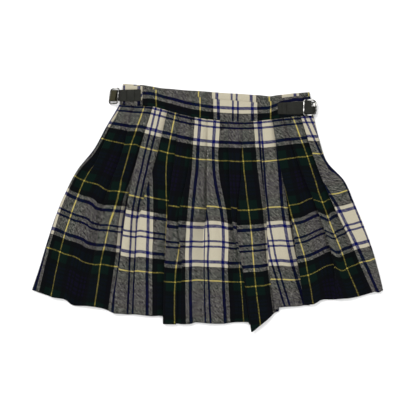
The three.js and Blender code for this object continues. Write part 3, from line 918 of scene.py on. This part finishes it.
# The heights at which leather lies on the front band, and the tip on the strap's base
ON_BAND = 8.2
ON_BASE = 10
# Of a strap: how high its middle stands, how wide a crease is, the rounding of its edge, and how
# much thinner the sheet is for its crown
CROWN = 0.35
CREASE = 0.55
STRAP_EDGE = 0.45
CROWN_ROOM = 0.2
# The grids of a flat strap and of one along a route, and the route's run on its cut
FLAT_ROWS = 26
ROUTE_COLUMNS, ROUTE_ROWS = 60, 16
ROUTE_RUN = 30


def strap_patch(name, ends, ups, widths, corners, bottom, thick, dents=(), columns=70):
    """A flat strap from one end to the other, ends across and ups upwards, with its width and the
    rounding of its corners at each. dents are (along, depth) of creases pressed across it."""
    length = math.hypot(ends[1] - ends[0], ups[1] - ups[0])
    turn = math.atan2(ups[1] - ups[0], ends[1] - ends[0])

    def lay(s, t):
        x = length * s
        half = mix(widths[0], widths[1], s) / 2
        for corner, gap in ((corners[0], x), (corners[1], length - x)):
            if gap < corner:
                half -= corner - math.sqrt(corner**2 - (corner - gap) ** 2)
        y = (2 * t - 1) * half
        crown = CROWN * (1 - (2 * t - 1) ** 4)
        dent = sum(depth * math.exp(-(((x - at) / CREASE) ** 2)) for at, depth in dents)
        z = bottom + thick / 2 - CROWN + crown - dent
        return (
            ends[0] + x * math.cos(turn) - y * math.sin(turn),
            ups[0] + x * math.sin(turn) + y * math.cos(turn),
            z,
        ), (x, y)

    patch = soft_grid(name, columns, FLAT_ROWS, lay, LEATHER_FACE)
    return thicken(patch, thick - CROWN_ROOM, edge=STRAP_EDGE)


def strap_around(name, route, up, width, material, lean=0.0):
    """A strap of even width along a route of (across, height), around the skirt's side. lean
    pushes its upper edge to the right."""

    def lay(s, t):
        x = through([p[0] for p in route], s)
        z = through([p[1] for p in route], s)
        y = (t - 0.5) * width
        return (x + lean * y, up + y, z), (s * ROUTE_RUN, y)

    strap = soft_grid(name, ROUTE_COLUMNS, ROUTE_ROWS, lay, material)
    return thicken(strap, LEATHER - CROWN_ROOM, edge=STRAP_EDGE)


left_strap = strap_patch(
    "left_strap_leather", (-148.5, -109.4), (184.4, 185), (18, 19), (4, 0.8), ON_BAND, LEATHER,
    dents=((16, 0.7), (29, 0.6)))
dress(left_strap, "black_leather", "left_strap")
left_loop = strap_around(
    "left_loop_leather", [(-150.4, 9.4), (-156, 8.8), (-159, 6), (-156, 3), (-147.5, 2.2)],
    184.6, 18, LEATHER_EDGE, lean=0.22)
dress(left_loop, "black_leather", "left_strap_loop")
right_base = strap_patch(
    "right_base_leather", (115.3, 153.5), (163.2, 163.8), (18.4, 21), (2.5, 2), ON_BAND, LEATHER,
    dents=((7, 0.7), (14.5, 0.6)))
dress(right_base, "black_leather", "right_strap_base")
right_tip = strap_patch(
    "right_tip_leather", (131, 155.5), (163.6, 163.8), (17.8, 18.4), (8.4, 0.8), ON_BASE, TIP_LEATHER,
    columns=40)
dress(right_tip, "black_leather")
right_strap = strap_around(
    "right_strap_leather", [(154, 9.3), (164, 9.3), (173, 9.2), (177.4, 6.6), (177.2, 3.4), (175, 1.9)],
    164.2, 19.4, LEATHER_FACE)
dress(right_strap, "black_leather", "right_strap")

# Buckles


# The wire's thickness, the short lengths of it round a corner, and its sides
WIRE = 2.3
RING_LENGTHS = 8
RING_SIDES = 20


def ring(name, centre, length, width, corners, tilt, lean, material):
    """A wire ring with rounded corners, near and far ones, tilted about the line that runs down
    the skirt. lean pushes its upper edge to the right."""
    half_l, half_w = length / 2, width / 2
    near, far = corners
    arcs = [
        (half_l - far, -half_w + far, far, -90), (half_l - far, half_w - far, far, 0),
        (-half_l + near, half_w - near, near, 90), (-half_l + near, -half_w + near, near, 180),
    ]
    outline = []
    for x, y, radius, start in arcs:
        for k in range(RING_LENGTHS + 1):
            turn = math.radians(start + k * 90 / RING_LENGTHS)
            place = (x + radius * math.cos(turn), y + radius * math.sin(turn), 0)
            outline.append((Vector(place), turn))
    count = len(outline)

    def lay(s, t):
        place, turn = outline[round(s * count) % count]
        spin = round(t * RING_SIDES) / RING_SIDES * 2 * math.pi
        level = Vector((math.cos(turn), math.sin(turn), 0))
        out = level * math.cos(spin) + Vector((0, 0, math.sin(spin)))
        point = Matrix.Rotation(tilt, 3, "Y") @ (place + out * WIRE / 2)
        point.x += lean * point.y
        return point + Vector(centre), (s, t)

    return soft_grid(name, count, RING_SIDES, lay, material, join=True)


left_ring = ring("left_buckle_ring", (-153.6, 183.6, 7.4), 17.5, 24.7, (5, 3), -0.62, 0.12, LEFT_SILVER)
dress(left_ring, "polished_silver", "left_buckle")
right_ring = ring("right_buckle_ring", (168, 164.6, 12), 20.5, 24.7, (3, 8), 0, 0.03, RIGHT_SILVER)
dress(right_ring, "polished_silver", "right_buckle")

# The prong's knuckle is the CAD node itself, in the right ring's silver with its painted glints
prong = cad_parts["right_prong"].data
prong.materials.clear()
prong.materials.append(RIGHT_SILVER)

# Floor, light and camera

floor_shape = bmesh.new()
bmesh.ops.create_grid(floor_shape, x_segments=8, y_segments=8, size=4)
floor = make_piece("pale_floor", floor_shape, pale_floor())

world = bpy.data.worlds.new("studio")
world.use_nodes = True
background = world.node_tree.nodes["Background"].inputs
background["Color"].default_value = (1, 1, 1, 1)
background["Strength"].default_value = 0.95
bpy.context.scene.world = world
bpy.context.scene.view_settings.view_transform = "Standard"


def soft_box(name, place, size, power):
    """A round area lamp that points at the middle of the skirt: metres and watts."""
    light = bpy.data.lights.new(name, "AREA")
    light.shape = "DISK"
    light.size = size
    light.energy = power
    lamp = bpy.data.objects.new(name, light)
    lamp.location = place
    lamp.rotation_euler = (-Vector(place)).to_track_quat("-Z", "Y").to_euler()
    bpy.context.scene.collection.objects.link(lamp)


soft_box("key_soft_box", (-0.9, 1.1, 2.4), 1.3, 40)
soft_box("fill_soft_box", (1.2, -0.7, 2.6), 1.6, 10)

# The camera looks straight down, as in the photograph
camera = bpy.data.objects.new("camera", bpy.data.cameras.new("camera"))
camera.data.sensor_width = 36
camera.data.lens = 100
camera.location = (0.0008, -0.0002, 1.906)
camera.rotation_euler = (0, 0, 0)
bpy.context.scene.collection.objects.link(camera)
bpy.context.scene.camera = camera
